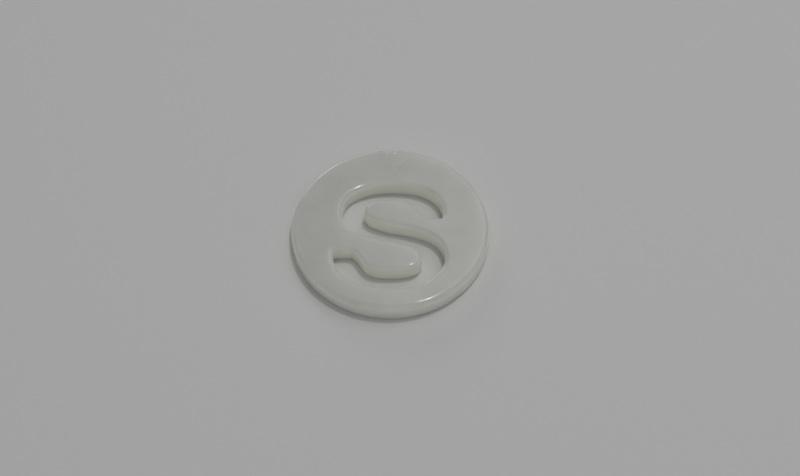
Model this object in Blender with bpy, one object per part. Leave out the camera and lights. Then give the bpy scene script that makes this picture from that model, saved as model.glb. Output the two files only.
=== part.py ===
"""Position button for a card table: one moulded plastic disc with an S-shaped opening right through it.

The disc lies flat on the plane z = 0 with its centre on the z axis. The opening stands upright along +y.
Every length is in metres.
"""

import math

import bpy
from mathutils import Vector, geometry

MM = 0.001

DISC_DIAMETER = 50.0 * MM
DISC_THICKNESS = 5.0 * MM
RIM_ROUNDING = 1.5 * MM
OPENING_ROUNDING = 1.2 * MM
BASE_ROUNDING = 0.8 * MM

RIM_POINTS = 96
TOP_ROUNDING_STEPS = 4
BASE_ROUNDING_STEPS = 2
DEGREES_PER_OUTLINE_STEP = 11.0
LONGEST_OUTLINE_STEP = 2.2 * MM
FACE_GRID = 5.0 * MM
FACE_GRID_CLEARANCE = 1.6 * MM
SHARPEST_SMOOTH_ANGLE = math.radians(40.0)

# The edge of the opening, walked anticlockwise: x and y in millimetres from the disc's centre,
# and the heading of the edge there in degrees (0 is +x, 90 is +y).
OPENING_OUTLINE = (
    # up the right side of the upper terminal, over the top and round the upper bowl
    (13.2, 4.6, 90),
    (11.0, 9.8, 135),
    (-0.2, 13.0, 180),
    (-12.2, 4.9, 270),
    # down the lower side of the diagonal stroke and round the end of the lower tongue
    (-9.9, -1.1, 322),
    (-2.8, -3.8, 344),
    (4.9, -5.8, 335),
    (7.9, -9.6, 270),
    (0.2, -13.5, 180),
    (-5.5, -12.4, 148),
    (-8.0, -9.2, 119),
    # the flat head and the left side of the lower terminal
    (-10.2, -7.5, 180),
    (-13.5, -7.5, 180),
    (-14.1, -8.1, 270),
    # round the bottom and the lower bowl
    (-13.4, -12.1, 298),
    (-10.0, -15.8, 327),
    (0.7, -18.3, 0),
    (8.6, -16.6, 33),
    (13.5, -9.1, 90),
    # up the upper side of the diagonal stroke and round the end of the upper tongue
    (11.2, -3.8, 135),
    (5.9, -1.1, 160),
    (-2.0, 0.8, 160),
    (-6.7, 4.8, 90),
    (-0.2, 8.6, 0),
    (4.9, 7.2, 320),
    (7.8, 4.2, 310),
    # the flat foot of the upper terminal
    (10.0, 2.6, 0),
    (12.5, 2.6, 0),
    (13.2, 3.3, 90),
)

PLASTIC_COLOUR = (0.60, 0.61, 0.56, 1.0)
PLASTIC_ROUGHNESS = 0.3
PLASTIC_REFRACTION = 1.49


def heading_vector(degrees):
    """Unit vector in the plane for a heading in degrees."""
    angle = math.radians(degrees)
    return Vector((math.cos(angle), math.sin(angle)))


def bezier_point(controls, t):
    """Point of a cubic Bezier curve at t between 0 and 1."""
    start, leave, arrive, end = controls
    s = 1.0 - t
    return s**3 * start + 3.0 * s**2 * t * leave + 3.0 * s * t**2 * arrive + t**3 * end


def bezier_tangent(controls, t):
    """Unit tangent of a cubic Bezier curve at t between 0 and 1."""
    start, leave, arrive, end = controls
    s = 1.0 - t
    slope = s**2 * (leave - start) + 2.0 * s * t * (arrive - leave) + t**2 * (end - arrive)
    return slope.normalized()


def stretch_controls(knot, following):
    """Bezier control points of the rounded stretch between two knots of the outline.

    The handle length makes the stretch a circular arc whenever the two knots allow one.
    """
    start = Vector(knot[:2]) * MM
    end = Vector(following[:2]) * MM
    turn = math.radians((following[2] - knot[2] + 180.0) % 360.0 - 180.0)
    handle = (end - start).length / (3.0 * math.cos(turn / 4.0) ** 2)
    leave = start + handle * heading_vector(knot[2])
    arrive = end - handle * heading_vector(following[2])
    return start, leave, arrive, end


def stretch_steps(knot, following):
    """Number of straight steps that follow one stretch closely enough."""
    turn = abs((following[2] - knot[2] + 180.0) % 360.0 - 180.0)
    length = (Vector(following[:2]) - Vector(knot[:2])).length * MM
    return max(1, math.ceil(turn / DEGREES_PER_OUTLINE_STEP), math.ceil(length / LONGEST_OUTLINE_STEP))


def opening_edge():
    """Points round the opening, each with the direction that points into the plastic."""
    edge = []
    for knot, following in zip(OPENING_OUTLINE, OPENING_OUTLINE[1:] + OPENING_OUTLINE[:1]):
        controls = stretch_controls(knot, following)
        steps = stretch_steps(knot, following)
        for i in range(steps):
            tangent = bezier_tangent(controls, i / steps)
            edge.append((bezier_point(controls, i / steps), Vector((tangent.y, -tangent.x))))
    return edge


def rim_edge():
    """Points round the disc, each with the direction that points into the plastic."""
    edge = []
    for i in range(RIM_POINTS):
        outward = heading_vector(360.0 * i / RIM_POINTS)
        edge.append((outward * DISC_DIAMETER / 2.0, -outward))
    return edge


def edge_profile(top_rounding):
    """Depth into the plastic and height of each ring of a wall, from the underside to the top."""
    profile = []
    for i in range(BASE_ROUNDING_STEPS + 1):
        angle = math.radians(90.0) * i / BASE_ROUNDING_STEPS
        depth = BASE_ROUNDING * (1.0 - math.sin(angle))
        profile.append((depth, BASE_ROUNDING * (1.0 - math.cos(angle))))
    for i in range(TOP_ROUNDING_STEPS + 1):
        angle = math.radians(90.0) * i / TOP_ROUNDING_STEPS
        depth = top_rounding * (1.0 - math.cos(angle))
        profile.append((depth, DISC_THICKNESS - top_rounding * (1.0 - math.sin(angle))))
    return profile


def add_wall(vertices, faces, edge, top_rounding, around_plastic):
    """Add the wall along an edge and return the vertex numbers of its lowest and highest ring."""
    rings = []
    for depth, height in edge_profile(top_rounding):
        first = len(vertices)
        for point, inward in edge:
            place = point + inward * depth
            vertices.append((place.x, place.y, height))
        rings.append(range(first, len(vertices)))
    count = len(edge)
    for lower, upper in zip(rings, rings[1:]):
        for i in range(count):
            j = (i + 1) % count
            face = (lower[i], lower[j], upper[j], upper[i])
            faces.append(face if around_plastic else face[::-1])
    return rings[0], rings[-1]


def inside_loop(point, loop):
    """True when the point lies inside the closed loop."""
    crossings = 0
    for a, b in zip(loop, loop[1:] + loop[:1]):
        if (a.y > point.y) != (b.y > point.y):
            if point.x < a.x + (point.y - a.y) / (b.y - a.y) * (b.x - a.x):
                crossings += 1
    return crossings % 2 == 1


def grid_points(rim_loop, opening_loop):
    """Points spread over the flat face, so that its triangles keep a good shape."""
    points = []
    half_count = int(DISC_DIAMETER / 2.0 / FACE_GRID)
    for row in range(-half_count, half_count + 1):
        for column in range(-half_count, half_count + 1):
            point = Vector((column * FACE_GRID, row * FACE_GRID))
            nearest = min((point - other).length for other in rim_loop + opening_loop)
            if nearest < FACE_GRID_CLEARANCE or inside_loop(point, opening_loop):
                continue
            if inside_loop(point, rim_loop):
                points.append(point)
    return points


def add_flat_face(vertices, faces, rim_ring, opening_ring, faces_up):
    """Fill the flat ring between the rim and the opening."""
    height = vertices[rim_ring[0]][2]
    rim_loop = [Vector(vertices[i][:2]) for i in rim_ring]
    opening_loop = [Vector(vertices[i][:2]) for i in opening_ring]
    numbers = list(rim_ring) + list(opening_ring)
    for point in grid_points(rim_loop, opening_loop):
        numbers.append(len(vertices))
        vertices.append((point.x, point.y, height))
    plan = [Vector(vertices[i][:2]) for i in numbers]
    rim_count = len(rim_loop)
    loops = [list(range(rim_count)), list(range(rim_count, rim_count + len(opening_loop)))]
    borders = [(loop[i - 1], loop[i]) for loop in loops for i in range(len(loop))]
    triangles = geometry.delaunay_2d_cdt(plan, borders, [], 1, 1e-9)[2]
    for triangle in triangles:
        centre = sum((plan[i] for i in triangle), Vector((0.0, 0.0))) / 3.0
        if inside_loop(centre, opening_loop):
            continue
        ordered = triangle if faces_up else triangle[::-1]
        faces.append(tuple(numbers[i] for i in ordered))


def plastic():
    """Pale milky plastic."""
    material = bpy.data.materials.new("milky_plastic")
    material.use_nodes = True
    shader = material.node_tree.nodes["Principled BSDF"]
    shader.inputs["Base Color"].default_value = PLASTIC_COLOUR
    shader.inputs["Roughness"].default_value = PLASTIC_ROUGHNESS
    shader.inputs["IOR"].default_value = PLASTIC_REFRACTION
    material.diffuse_color = PLASTIC_COLOUR
    return material


def make_button_disc():
    """The whole button: rim wall, opening wall, top face and underside, closed into one body."""
    vertices = []
    faces = []
    rim_low, rim_high = add_wall(vertices, faces, rim_edge(), RIM_ROUNDING, around_plastic=True)
    opening_low, opening_high = add_wall(
        vertices, faces, opening_edge(), OPENING_ROUNDING, around_plastic=False
    )
    add_flat_face(vertices, faces, rim_high, opening_high, faces_up=True)
    add_flat_face(vertices, faces, rim_low, opening_low, faces_up=False)
    mesh = bpy.data.meshes.new("button_disc")
    mesh.from_pydata(vertices, [], faces)
    mesh.materials.append(plastic())
    mesh.shade_smooth()
    mesh.set_sharp_from_angle(angle=SHARPEST_SMOOTH_ANGLE)
    disc = bpy.data.objects.new("button_disc", mesh)
    bpy.context.scene.collection.objects.link(disc)
    return disc


def main():
    for item in list(bpy.data.objects):
        bpy.data.objects.remove(item, do_unlink=True)
    make_button_disc()


main()
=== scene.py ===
"""Looks of the card table position button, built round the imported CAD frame.

One moulded disc of milky plastic with an S-shaped opening right through it lies on a plain pale floor.
Every length is in metres.
"""

import math

import bmesh
import bpy
import numpy as np
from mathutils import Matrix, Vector, geometry, noise


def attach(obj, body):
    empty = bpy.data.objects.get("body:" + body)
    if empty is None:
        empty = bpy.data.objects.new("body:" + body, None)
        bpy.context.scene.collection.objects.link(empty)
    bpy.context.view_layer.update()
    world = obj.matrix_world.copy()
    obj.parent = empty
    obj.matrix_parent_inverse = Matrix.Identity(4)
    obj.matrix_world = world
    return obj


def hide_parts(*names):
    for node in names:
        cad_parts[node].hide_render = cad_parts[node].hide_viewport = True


MM = 0.001

# The disc
DISC_RADIUS = 25.0 * MM
DISC_THICKNESS = 5.0 * MM
RIM_ROUNDING = 1.5 * MM
OPENING_ROUNDING = 1.2 * MM
BASE_ROUNDING = 0.8 * MM
DRAFT = 0.05 * MM
PARTING_STEP = 0.03 * MM

# How finely its surface is drawn
RIM_POINTS = 480
ROUNDING_STEPS = 12
WALL_STEPS = 6
DEGREES_PER_OUTLINE_STEP = 3.0
LONGEST_OUTLINE_STEP = 0.4 * MM
FACE_GRID = 0.8 * MM
FACE_GRID_CLEARANCE = 0.3 * MM
SAME_POINT_DISTANCE = 1e-9

# What Blender's triangulation is asked for: only the triangles inside the borders
TRIANGLES_INSIDE_BORDERS = 1

# The edge of the opening, walked anticlockwise: x and y in millimetres from the disc's centre,
# and the heading of the edge there in degrees (0 is +x, 90 is +y).
OPENING_OUTLINE = (
    # up the right side of the upper terminal, over the top and round the upper bowl
    (13.2, 4.6, 90),
    (11.0, 9.8, 135),
    (-0.2, 13.0, 180),
    (-12.2, 4.9, 270),
    # down the lower side of the diagonal stroke and round the end of the lower tongue
    (-9.9, -1.1, 322),
    (-2.8, -3.8, 344),
    (4.9, -5.8, 335),
    (7.9, -9.6, 270),
    (0.2, -13.5, 180),
    (-5.5, -12.4, 148),
    (-8.0, -9.2, 119),
    # the flat head and the left side of the lower terminal
    (-10.2, -7.5, 180),
    (-13.5, -7.5, 180),
    (-14.1, -8.1, 270),
    # round the bottom and the lower bowl
    (-13.4, -12.1, 298),
    (-10.0, -15.8, 327),
    (0.7, -18.3, 0),
    (8.6, -16.6, 33),
    (13.5, -9.1, 90),
    # up the upper side of the diagonal stroke and round the end of the upper tongue
    (11.2, -3.8, 135),
    (5.9, -1.1, 160),
    (-2.0, 0.8, 160),
    (-6.7, 4.8, 90),
    (-0.2, 8.6, 0),
    (4.9, 7.2, 320),
    (7.8, 4.2, 310),
    # the flat foot of the upper terminal
    (10.0, 2.6, 0),
    (12.5, 2.6, 0),
    (13.2, 3.3, 90),
)

# The round recess at the far edge where the plastic entered the mould, with half the width of its edge
GATE_CENTRE = Vector((0.2, 23.8)) * MM
GATE_RADIUS = 1.05 * MM
GATE_DEPTH = 0.28 * MM
GATE_EDGE = 0.20 * MM

# Dents in the top face: centre, heading of the long side in degrees, half length, half width, depth
DENTS = (
    (Vector((1.5, 19.0)) * MM, 0.0, 0.40 * MM, 0.25 * MM, 0.090 * MM),
    (Vector((1.7, 18.2)) * MM, 20.0, 0.35 * MM, 0.30 * MM, 0.100 * MM),
    (Vector((2.4, 18.7)) * MM, 15.0, 0.45 * MM, 0.28 * MM, 0.120 * MM),
    (Vector((2.9, 19.3)) * MM, 60.0, 0.45 * MM, 0.25 * MM, 0.080 * MM),
    (Vector((16.0, -17.9)) * MM, 50.0, 0.45 * MM, 0.22 * MM, 0.070 * MM),
)

# Round marks in the underside from the pins that push the disc out of its mould, with half the width
# of their edges
EJECTOR_DISTANCE = 21.6 * MM
EJECTOR_RADIUS = 1.5 * MM
EJECTOR_DEPTH = 0.06 * MM
EJECTOR_EDGE = 0.10 * MM
EJECTOR_HEADINGS = (0.0, 90.0, 180.0, 270.0)

# Fine mesh round each mark: cuts across each edge of the mesh, and how far past the mark they reach
MARK_CUTS = 6
MARK_MARGIN = 0.6 * MM

# Slow unevenness of the top face, from the plastic shrinking as it cooled
SINK_DEPTH = 0.015 * MM
SINK_SPACING = 8.0 * MM

# Colours of the plastic: flat faces, rounded top edges, and walls. The edges and walls carry painted
# light:
# they are lighter and greener than the faces, standing in for light that comes out of them from inside the
# plastic. A wall has its full colour below the height given last, so its foot is painted lighter against
# the shade there.
FACE_COLOUR = (0.692, 0.700, 0.665, 1.0)
EDGE_PAINTED_GLOW_COLOUR = (0.850, 0.865, 0.765, 1.0)
WALL_PAINTED_GLOW_COLOUR = (0.985, 1.000, 0.850, 1.0)
WALL_PAINTED_GLOW_HEIGHT = 1.5 * MM

# Upright part of the unit normal where the surface counts as fully steep, and where it counts as flat
STEEP_TO_FLAT = (0.4, 0.99)

# How light enters the plastic and spreads in it; the colours spread by these shares of the depth
PLASTIC_REFRACTION = 1.585
SCATTER_WEIGHT = 1.0
SCATTER_DEPTH = 6.0 * MM
SCATTER_COLOURS = (1.0, 1.0, 0.9)

# Noise seldom leaves this range, which is stretched to the range of each pattern below
NOISE_RANGE = (0.3, 0.7)

# Patterns that multiply the colour
CLOUDS = {"spacing": 7.0 * MM, "low": 0.975, "high": 1.02, "detail": 3.0}
STREAKS = {"spacing": 2.2 * MM, "low": 0.99, "high": 1.01, "detail": 2.0, "distortion": 1.5}

# Patterns of the roughness
SMUDGES = {"spacing": 5.0 * MM, "low": 0.05, "high": 0.10, "detail": 4.0}
EDGE_WEAR = {"spacing": 0.6 * MM, "low": 0.0, "high": 0.20, "detail": 3.0}

# Patterns of the height, in metres
RIPPLES = {"spacing": 1.4 * MM, "low": 0.0, "high": 0.0012 * MM, "detail": 1.0}
GRAIN = {"spacing": 0.12 * MM, "low": 0.0, "high": 0.00015 * MM, "detail": 1.0}

# Dust specks: each fades out between its radius and SPECK_FADE times its radius
SPECK_SPACING = 3.5 * MM
SPECK_RADIUS = 0.055 * MM
SPECK_FADE = 2.0
SPECK_SHADE = 0.80

# Hairline scratches: their strength varies over SCRATCH_STRENGTHS, and they are broken where it is below 0
SCRATCH_SPACINGS = (5.0 * MM, 2.6 * MM)
SCRATCH_WIDTH = 0.018 * MM
SCRATCH_DEPTH = 0.00015 * MM
SCRATCH_ROUGHNESS = 0.35
SCRATCH_STRENGTHS = (-1.2, 1.0)

# Camera: where it stands, seen from the point it aims at, and its lens in millimetres
CAMERA_AZIMUTH = -90.0
CAMERA_ELEVATION = 54.7
CAMERA_DISTANCE = 0.30
CAMERA_LENS = 53.4
CAMERA_AIM = Vector((2.4, -1.5, 1.4)) * MM

# Light: one small round lamp almost overhead, and soft panels in the surroundings, each given by
# azimuth, elevation and half width in degrees and by strength
KEY_DIRECTION = Vector((0.175, 0.18, 0.97))
KEY_DISTANCE = 0.8
KEY_DIAMETER = 0.07
KEY_POWER = 0.89
SURROUNDINGS_COLOUR = (1.0, 1.0, 1.0, 1.0)
SURROUNDINGS_STRENGTH = 0.10
SOFT_PANELS = (
    (110.0, 20.0, 16.0, 2.4),
    (60.0, 56.0, 24.0, 1.15),
    (345.0, 32.0, 34.0, 0.33),
    (190.0, 28.0, 28.0, 0.27),
    (270.0, 54.0, 33.0, 0.62),
)

# Floor
FLOOR_SIZE = 4.0
FLOOR_COLOUR = (0.79, 0.79, 0.79)
FLOOR_ROUGHNESS = 0.8
FLOOR_SPECULAR = 0.2
FLOOR_GRAIN = {"spacing": 0.5 * MM, "low": 0.99, "high": 1.01, "detail": 3.0}


def heading_vector(degrees):
    """Unit vector in the plane for a heading in degrees."""
    angle = math.radians(degrees)
    return Vector((math.cos(angle), math.sin(angle)))


def sky_vector(azimuth, elevation):
    """Unit vector towards an azimuth and elevation in degrees."""
    level = heading_vector(azimuth) * math.cos(math.radians(elevation))
    return Vector((level.x, level.y, math.sin(math.radians(elevation))))


def smooth_fall(distance, radius, edge):
    """1 inside the radius, 0 outside it, with a smooth edge of the given half width."""
    t = min(1.0, max(0.0, (radius + edge - distance) / (2.0 * edge)))
    return t * t * (3.0 - 2.0 * t)


def bezier_point(controls, t):
    """Point of a cubic Bezier curve at t between 0 and 1."""
    start, leave, arrive, end = controls
    s = 1.0 - t
    return s**3 * start + 3.0 * s**2 * t * leave + 3.0 * s * t**2 * arrive + t**3 * end


def bezier_tangent(controls, t):
    """Unit tangent of a cubic Bezier curve at t between 0 and 1."""
    start, leave, arrive, end = controls
    s = 1.0 - t
    slope = s**2 * (leave - start) + 2.0 * s * t * (arrive - leave) + t**2 * (end - arrive)
    return slope.normalized()


def turn_between(knot, following):
    """Degrees by which the edge turns anticlockwise from one knot of the outline to the next."""
    return (following[2] - knot[2] + 180.0) % 360.0 - 180.0


def stretch_controls(knot, following):
    """Bezier control points of the rounded stretch between two knots of the outline.

    The handle length makes the stretch a circular arc whenever the two knots allow one.
    """
    start = Vector(knot[:2]) * MM
    end = Vector(following[:2]) * MM
    turn = math.radians(turn_between(knot, following))
    handle = (end - start).length / (3.0 * math.cos(turn / 4.0) ** 2)
    leave = start + handle * heading_vector(knot[2])
    arrive = end - handle * heading_vector(following[2])
    return start, leave, arrive, end


def stretch_steps(knot, following):
    """Number of straight steps that follow one stretch closely enough."""
    turn = abs(turn_between(knot, following))
    length = (Vector(following[:2]) - Vector(knot[:2])).length * MM
    return max(1, math.ceil(turn / DEGREES_PER_OUTLINE_STEP), math.ceil(length / LONGEST_OUTLINE_STEP))


def opening_edge():
    """Points round the opening, each with the direction that points into the plastic."""
    edge = []
    for knot, following in zip(OPENING_OUTLINE, OPENING_OUTLINE[1:] + OPENING_OUTLINE[:1]):
        controls = stretch_controls(knot, following)
        steps = stretch_steps(knot, following)
        for i in range(steps):
            tangent = bezier_tangent(controls, i / steps)
            edge.append((bezier_point(controls, i / steps), Vector((tangent.y, -tangent.x))))
    return edge


def rim_edge():
    """Points round the disc, each with the direction that points into the plastic."""
    edge = []
    for i in range(RIM_POINTS):
        outward = heading_vector(360.0 * i / RIM_POINTS)
        edge.append((outward * DISC_RADIUS, -outward))
    return edge


def edge_profile(top_rounding):
    """Depth into the plastic and height of each ring of a wall, from the underside to the top.

    The lower mould half ends at the parting line, where it stands a hair inside the upper half. From
    there the wall leans inwards, so that the disc leaves its mould.
    """
    profile = []
    for i in range(ROUNDING_STEPS + 1):
        angle = math.radians(90.0) * i / ROUNDING_STEPS
        depth = PARTING_STEP + BASE_ROUNDING * (1.0 - math.sin(angle))
        profile.append((depth, BASE_ROUNDING * (1.0 - math.cos(angle))))
    wall_foot = BASE_ROUNDING + PARTING_STEP
    wall_head = DISC_THICKNESS - top_rounding
    for i in range(WALL_STEPS):
        share = i / WALL_STEPS
        profile.append((DRAFT * share, wall_foot + (wall_head - wall_foot) * share))
    for i in range(ROUNDING_STEPS + 1):
        angle = math.radians(90.0) * i / ROUNDING_STEPS
        depth = DRAFT + top_rounding * (1.0 - math.cos(angle))
        profile.append((depth, DISC_THICKNESS - top_rounding * (1.0 - math.sin(angle))))
    return profile


def add_wall(vertices, faces, edge, top_rounding, around_plastic):
    """Add the wall along an edge and return the vertex numbers of its lowest and highest ring."""
    rings = []
    for depth, height in edge_profile(top_rounding):
        first = len(vertices)
        for point, inward in edge:
            place = point + inward * depth
            vertices.append((place.x, place.y, height))
        rings.append(range(first, len(vertices)))
    count = len(edge)
    for lower, upper in zip(rings, rings[1:]):
        for i in range(count):
            j = (i + 1) % count
            face = (lower[i], lower[j], upper[j], upper[i])
            faces.append(face if around_plastic else face[::-1])
    return rings[0], rings[-1]


def inside_loop(points, loop):
    """For each point, whether it lies inside the closed loop."""
    inside = np.zeros(len(points), dtype=bool)
    for a, b in zip(loop, np.roll(loop, -1, axis=0)):
        spans = (a[1] > points[:, 1]) != (b[1] > points[:, 1])
        if not spans.any():
            continue
        crossing = a[0] + (points[:, 1] - a[1]) / (b[1] - a[1]) * (b[0] - a[0])
        inside ^= spans & (points[:, 0] < crossing)
    return inside


def grid_points(rim_loop, opening_loop):
    """Points spread evenly over the flat face, clear of its borders."""
    half_count = int(DISC_RADIUS / FACE_GRID) + 1
    line = np.arange(-half_count, half_count + 1) * FACE_GRID
    columns, rows = np.meshgrid(line, line)
    points = np.stack([columns.ravel(), rows.ravel()], axis=1)
    borders = np.concatenate([rim_loop, opening_loop])
    gaps = np.linalg.norm(points[:, None, :] - borders[None, :, :], axis=2).min(axis=1)
    keep = inside_loop(points, rim_loop) & ~inside_loop(points, opening_loop)
    return points[keep & (gaps > FACE_GRID_CLEARANCE)]


def add_flat_face(vertices, faces, rim_ring, opening_ring, faces_up):
    """Fill the flat ring between the rim and the opening."""
    height = vertices[rim_ring[0]][2]
    rim_loop = np.array([vertices[i][:2] for i in rim_ring])
    opening_loop = np.array([vertices[i][:2] for i in opening_ring])
    numbers = list(rim_ring) + list(opening_ring)
    for x, y in grid_points(rim_loop, opening_loop):
        numbers.append(len(vertices))
        vertices.append((x, y, height))
    plan = [Vector(vertices[i][:2]) for i in numbers]
    rim_count = len(rim_loop)
    loops = [list(range(rim_count)), list(range(rim_count, rim_count + len(opening_loop)))]
    borders = [(loop[i - 1], loop[i]) for loop in loops for i in range(len(loop))]
    result = geometry.delaunay_2d_cdt(plan, borders, [], TRIANGLES_INSIDE_BORDERS, SAME_POINT_DISTANCE)
    triangles = np.array(result[2])
    centres = np.array(plan)[triangles].mean(axis=1)
    for triangle in triangles[~inside_loop(centres, opening_loop)]:
        ordered = triangle if faces_up else triangle[::-1]
        faces.append(tuple(numbers[i] for i in ordered))


def refine(shape, centre, reach, upper_side):
    """Divide the edges of the upper or lower side within reach of a mark's centre."""

    def near(vertex):
        on_side = (vertex.co.z > DISC_THICKNESS / 2.0) == upper_side
        return on_side and (vertex.co.xy - centre).length < reach

    edges = [edge for edge in shape.edges if near(edge.verts[0]) and near(edge.verts[1])]
    bmesh.ops.subdivide_edges(shape, edges=edges, cuts=MARK_CUTS, use_grid_fill=True)


def dent_drop(place, dent):
    """How far one shallow oval dent lowers the top face at a place."""
    centre, heading, half_length, half_width, depth = dent
    along = (place - centre).dot(heading_vector(heading)) / half_length
    across = (place - centre).dot(heading_vector(heading + 90.0)) / half_width
    return depth * math.exp(-(along**2) - across**2)


def press_top(place, height):
    """Height of the top side at a place, lowered by shrinkage, the gate recess and the dents."""
    unevenness = 0.5 - 0.5 * noise.noise(Vector((place.x, place.y, 0.0)) / SINK_SPACING)
    lowered = height - SINK_DEPTH * unevenness
    recess = smooth_fall((place - GATE_CENTRE).length, GATE_RADIUS, GATE_EDGE)
    lowered -= recess * max(0.0, lowered - (DISC_THICKNESS - GATE_DEPTH))
    return lowered - sum(dent_drop(place, dent) for dent in DENTS)


def press_underside(place, height):
    """Height of the underside at a place, raised inside the round ejector marks."""
    for heading in EJECTOR_HEADINGS:
        distance = (place - heading_vector(heading) * EJECTOR_DISTANCE).length
        height += EJECTOR_DEPTH * smooth_fall(distance, EJECTOR_RADIUS, EJECTOR_EDGE)
    return height


def press_marks(mesh):
    """Give the plain moulding the marks that its surface carries."""
    shape = bmesh.new()
    shape.from_mesh(mesh)
    refine(shape, GATE_CENTRE, GATE_RADIUS + MARK_MARGIN, upper_side=True)
    for centre, _, half_length, _, _ in DENTS:
        refine(shape, centre, half_length + MARK_MARGIN, upper_side=True)
    for heading in EJECTOR_HEADINGS:
        centre = heading_vector(heading) * EJECTOR_DISTANCE
        refine(shape, centre, EJECTOR_RADIUS + MARK_MARGIN, upper_side=False)
    for vertex in shape.verts:
        if vertex.co.z > DISC_THICKNESS / 2.0:
            vertex.co.z = press_top(vertex.co.xy, vertex.co.z)
        elif vertex.co.z < EJECTOR_DEPTH:
            vertex.co.z = press_underside(vertex.co.xy, vertex.co.z)
    shape.to_mesh(mesh)
    shape.free()


def add_object(name, data):
    """New object in the scene."""
    made = bpy.data.objects.new(name, data)
    bpy.context.scene.collection.objects.link(made)
    return made


def make_disc():
    """The whole button as one closed moulding."""
    vertices = []
    faces = []
    rim_low, rim_high = add_wall(vertices, faces, rim_edge(), RIM_ROUNDING, around_plastic=True)
    opening_low, opening_high = add_wall(
        vertices, faces, opening_edge(), OPENING_ROUNDING, around_plastic=False
    )
    add_flat_face(vertices, faces, rim_high, opening_high, faces_up=True)
    add_flat_face(vertices, faces, rim_low, opening_low, faces_up=False)
    mesh = bpy.data.meshes.new("moulded_disc")
    mesh.from_pydata(vertices, [], faces)
    press_marks(mesh)
    mesh.materials.append(milky_plastic())
    mesh.shade_smooth()
    disc = add_object("moulded_disc", mesh)
    disc.modifiers.new("face weighted normals", "WEIGHTED_NORMAL")
    return disc


def add_node(tree, kind, inputs=(), **settings):
    """New shader node; inputs pairs each input's name or number with a value or another node's output."""
    made = tree.nodes.new(kind)
    for name, value in settings.items():
        setattr(made, name, value)
    for name, value in dict(inputs).items():
        if isinstance(value, bpy.types.NodeSocket):
            tree.links.new(value, made.inputs[name])
        else:
            made.inputs[name].default_value = value
    return made


def calculate(tree, operation, first, second):
    """Output of a sum, product or other operation on two values."""
    return add_node(tree, "ShaderNodeMath", {0: first, 1: second}, operation=operation).outputs["Value"]


def remap(tree, value, low, high, to_low, to_high):
    """Output that runs smoothly from to_low to to_high while the value runs from low to high."""
    inputs = {"Value": value, "From Min": low, "From Max": high, "To Min": to_low, "To Max": to_high}
    return add_node(tree, "ShaderNodeMapRange", inputs, interpolation_type="SMOOTHSTEP").outputs["Result"]


def mix_colours(tree, share, first, second):
    """Mix two colours: the first where the share is 0, the second where it is 1.

    The mix node keeps its two colours in inputs 6 and 7 and the mixed one in output 2.
    """
    inputs = {0: share, 6: first, 7: second}
    return add_node(tree, "ShaderNodeMix", inputs, data_type="RGBA").outputs[2]


def shade_colour(tree, colour, shade):
    """A colour made darker or lighter by a shade around 1."""
    inputs = {0: colour, "Scale": shade}
    return add_node(tree, "ShaderNodeVectorMath", inputs, operation="SCALE").outputs["Vector"]


def cloud(tree, place, spacing, low, high, detail=0.0, distortion=0.0):
    """Soft random pattern with the given spacing, running between low and high."""
    inputs = {"Vector": place, "Scale": 1.0 / spacing, "Detail": detail, "Distortion": distortion}
    pattern = add_node(tree, "ShaderNodeTexNoise", inputs)
    return remap(tree, pattern.outputs["Fac"], *NOISE_RANGE, low, high)


def steepness(tree):
    """0 on the flat faces of the disc and 1 on its upright walls."""
    normal = add_node(tree, "ShaderNodeTexCoord").outputs["Normal"]
    upright = add_node(tree, "ShaderNodeSeparateXYZ", {0: normal}).outputs["Z"]
    flatness = add_node(tree, "ShaderNodeMath", {0: upright}, operation="ABSOLUTE").outputs["Value"]
    return remap(tree, flatness, *STEEP_TO_FLAT, 1.0, 0.0)


def specks(tree, place):
    """Shade of the few dust specks caught in the plastic: 1 everywhere else."""
    inputs = {"Vector": place, "Scale": 1.0 / SPECK_SPACING}
    cells = add_node(tree, "ShaderNodeTexVoronoi", inputs)
    size = SPECK_RADIUS / SPECK_SPACING
    return remap(tree, cells.outputs["Distance"], size, SPECK_FADE * size, SPECK_SHADE, 1.0)


def scratches(tree, place):
    """1 along hairline scratches and 0 between them."""
    lines = []
    for spacing in SCRATCH_SPACINGS:
        shift = {0: place, 1: (spacing, spacing, 0.0)}
        shifted = add_node(tree, "ShaderNodeVectorMath", shift, operation="ADD").outputs["Vector"]
        inputs = {"Vector": shifted, "Scale": 1.0 / spacing}
        cells = add_node(tree, "ShaderNodeTexVoronoi", inputs, feature="DISTANCE_TO_EDGE")
        width = SCRATCH_WIDTH / spacing
        line = remap(tree, cells.outputs["Distance"], 0.0, width, 1.0, 0.0)
        strength = cloud(tree, shifted, spacing, *SCRATCH_STRENGTHS)
        lines.append(calculate(tree, "MULTIPLY", line, calculate(tree, "MAXIMUM", strength, 0.0)))
    return calculate(tree, "MAXIMUM", *lines)


def plastic_colour(tree, place, steep):
    """Milky white on the faces and painted light on the walls and rounded edges, a lighter, clearer green
    standing in for light coming out through the plastic, with faint clouds, streaks and specks.
    """
    # Painted light: steep surfaces take a lighter, greener colour than the faces, lightest low on the
    # walls, in place of light leaving them through the plastic.
    height = add_node(tree, "ShaderNodeSeparateXYZ", {0: place}).outputs["Z"]
    depth = remap(tree, height, WALL_PAINTED_GLOW_HEIGHT, DISC_THICKNESS, 1.0, 0.0)
    side = mix_colours(tree, depth, EDGE_PAINTED_GLOW_COLOUR, WALL_PAINTED_GLOW_COLOUR)
    tint_with_painted_glow = mix_colours(tree, steep, FACE_COLOUR, side)
    clouded = calculate(tree, "MULTIPLY", cloud(tree, place, **CLOUDS), cloud(tree, place, **STREAKS))
    shade = calculate(tree, "MULTIPLY", clouded, specks(tree, place))
    return shade_colour(tree, tint_with_painted_glow, shade)


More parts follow.
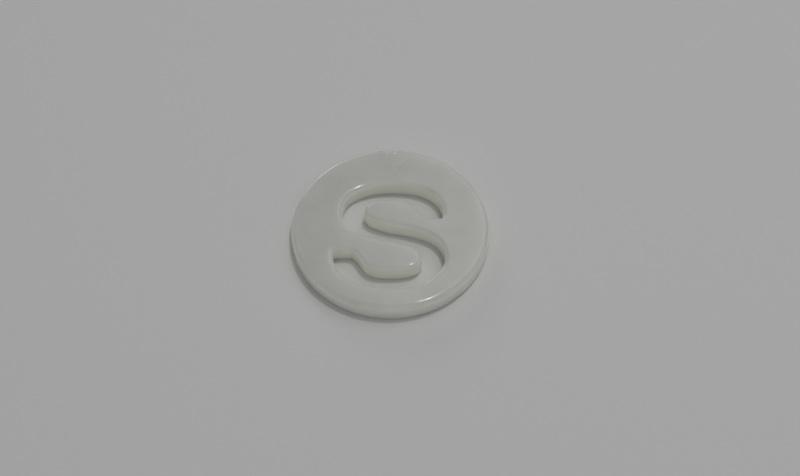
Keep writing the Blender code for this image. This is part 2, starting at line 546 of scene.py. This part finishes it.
def plastic_roughness(tree, place, steep, hairlines):
    """Polished, with smudges, hairline scratches and edges scuffed by handling.

    The scuffs are strongest half way round an edge, where a quarter of their pattern is added.
    """
    smudged = cloud(tree, place, **SMUDGES)
    edge = calculate(tree, "MULTIPLY", steep, calculate(tree, "SUBTRACT", 1.0, steep))
    wear = cloud(tree, place, **EDGE_WEAR)
    worn = calculate(tree, "ADD", smudged, calculate(tree, "MULTIPLY", edge, wear))
    scratched = calculate(tree, "MULTIPLY", hairlines, SCRATCH_ROUGHNESS)
    return calculate(tree, "ADD", worn, scratched)


def plastic_relief(tree, place, hairlines):
    """Ripples of the moulded surface, its fine grain and the hairline scratches, as a bent normal."""
    ripples = cloud(tree, place, **RIPPLES)
    grain = cloud(tree, place, **GRAIN)
    cuts = calculate(tree, "MULTIPLY", hairlines, -SCRATCH_DEPTH)
    height = calculate(tree, "ADD", calculate(tree, "ADD", ripples, grain), cuts)
    return add_node(tree, "ShaderNodeBump", {"Height": height, "Distance": 1.0}).outputs["Normal"]


def new_material(name):
    """New material, with its node tree, its shader and the output that gives places on the object."""
    material = bpy.data.materials.new(name)
    material.use_nodes = True
    tree = material.node_tree
    place = add_node(tree, "ShaderNodeTexCoord").outputs["Object"]
    return material, tree, tree.nodes["Principled BSDF"], place


def milky_plastic():
    """Glossy milky plastic with a faint green in its depth, and painted light on its walls as a lighter,
    greener colour.
    """
    material, tree, shader, place = new_material("milky_plastic")
    steep = steepness(tree)
    hairlines = scratches(tree, place)
    tree.links.new(plastic_colour(tree, place, steep), shader.inputs["Base Color"])
    tree.links.new(plastic_roughness(tree, place, steep, hairlines), shader.inputs["Roughness"])
    tree.links.new(plastic_relief(tree, place, hairlines), shader.inputs["Normal"])
    shader.inputs["IOR"].default_value = PLASTIC_REFRACTION
    shader.inputs["Subsurface Weight"].default_value = SCATTER_WEIGHT
    shader.inputs["Subsurface Radius"].default_value = SCATTER_COLOURS
    shader.inputs["Subsurface Scale"].default_value = SCATTER_DEPTH
    return material


def floor_material():
    """Matt pale floor with a fine grain."""
    material, tree, shader, place = new_material("pale_floor")
    colour = shade_colour(tree, FLOOR_COLOUR, cloud(tree, place, **FLOOR_GRAIN))
    tree.links.new(colour, shader.inputs["Base Color"])
    shader.inputs["Roughness"].default_value = FLOOR_ROUGHNESS
    shader.inputs["Specular IOR Level"].default_value = FLOOR_SPECULAR
    return material


def make_floor():
    """Large flat floor under the disc."""
    half = FLOOR_SIZE / 2.0
    corners = [(-half, -half, 0.0), (half, -half, 0.0), (half, half, 0.0), (-half, half, 0.0)]
    mesh = bpy.data.meshes.new("floor")
    mesh.from_pydata(corners, [], [(0, 1, 2, 3)])
    mesh.materials.append(floor_material())
    return add_object("floor", mesh)


def make_camera():
    """Camera that looks down at the disc from the front."""
    data = bpy.data.cameras.new("camera")
    data.lens = CAMERA_LENS
    camera = add_object("camera", data)
    camera.location = CAMERA_AIM + sky_vector(CAMERA_AZIMUTH, CAMERA_ELEVATION) * CAMERA_DISTANCE
    tilt = math.radians(90.0 - CAMERA_ELEVATION)
    camera.rotation_euler = (tilt, 0.0, math.radians(90.0 + CAMERA_AZIMUTH))
    bpy.context.scene.camera = camera


def make_key_light():
    """Small round lamp, almost overhead."""
    data = bpy.data.lights.new("key", "AREA")
    data.shape = "DISK"
    data.size = KEY_DIAMETER
    data.energy = KEY_POWER
    light = add_object("key", data)
    light.location = KEY_DIRECTION.normalized() * KEY_DISTANCE
    light.rotation_mode = "QUATERNION"
    light.rotation_quaternion = KEY_DIRECTION.to_track_quat("Z", "Y")


def make_surroundings():
    """Even light from all round, with soft brighter panels."""
    world = bpy.data.worlds.new("studio")
    world.use_nodes = True
    tree = world.node_tree
    background = tree.nodes["Background"]
    background.inputs["Color"].default_value = SURROUNDINGS_COLOUR
    direction = add_node(tree, "ShaderNodeTexCoord").outputs["Generated"]
    total = SURROUNDINGS_STRENGTH
    for azimuth, elevation, half_width, strength in SOFT_PANELS:
        directions = {0: direction, 1: sky_vector(azimuth, elevation)}
        product = add_node(tree, "ShaderNodeVectorMath", directions, operation="DOT_PRODUCT")
        border = math.cos(math.radians(half_width))
        panel = remap(tree, product.outputs["Value"], border, 1.0, 0.0, strength)
        total = calculate(tree, "ADD", panel, total)
    tree.links.new(total, background.inputs["Strength"])
    bpy.context.scene.world = world


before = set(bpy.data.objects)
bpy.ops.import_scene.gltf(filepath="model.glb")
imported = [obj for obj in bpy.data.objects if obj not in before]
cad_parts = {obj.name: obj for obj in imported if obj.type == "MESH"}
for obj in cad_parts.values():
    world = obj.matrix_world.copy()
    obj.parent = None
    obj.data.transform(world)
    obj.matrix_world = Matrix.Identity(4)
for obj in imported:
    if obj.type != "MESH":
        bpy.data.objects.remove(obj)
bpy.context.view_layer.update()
bpy.context.scene.view_settings.view_transform = "Standard"
disc = make_disc()
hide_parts("button_disc")
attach(disc, "root")
make_floor()
make_camera()
make_key_light()
make_surroundings()
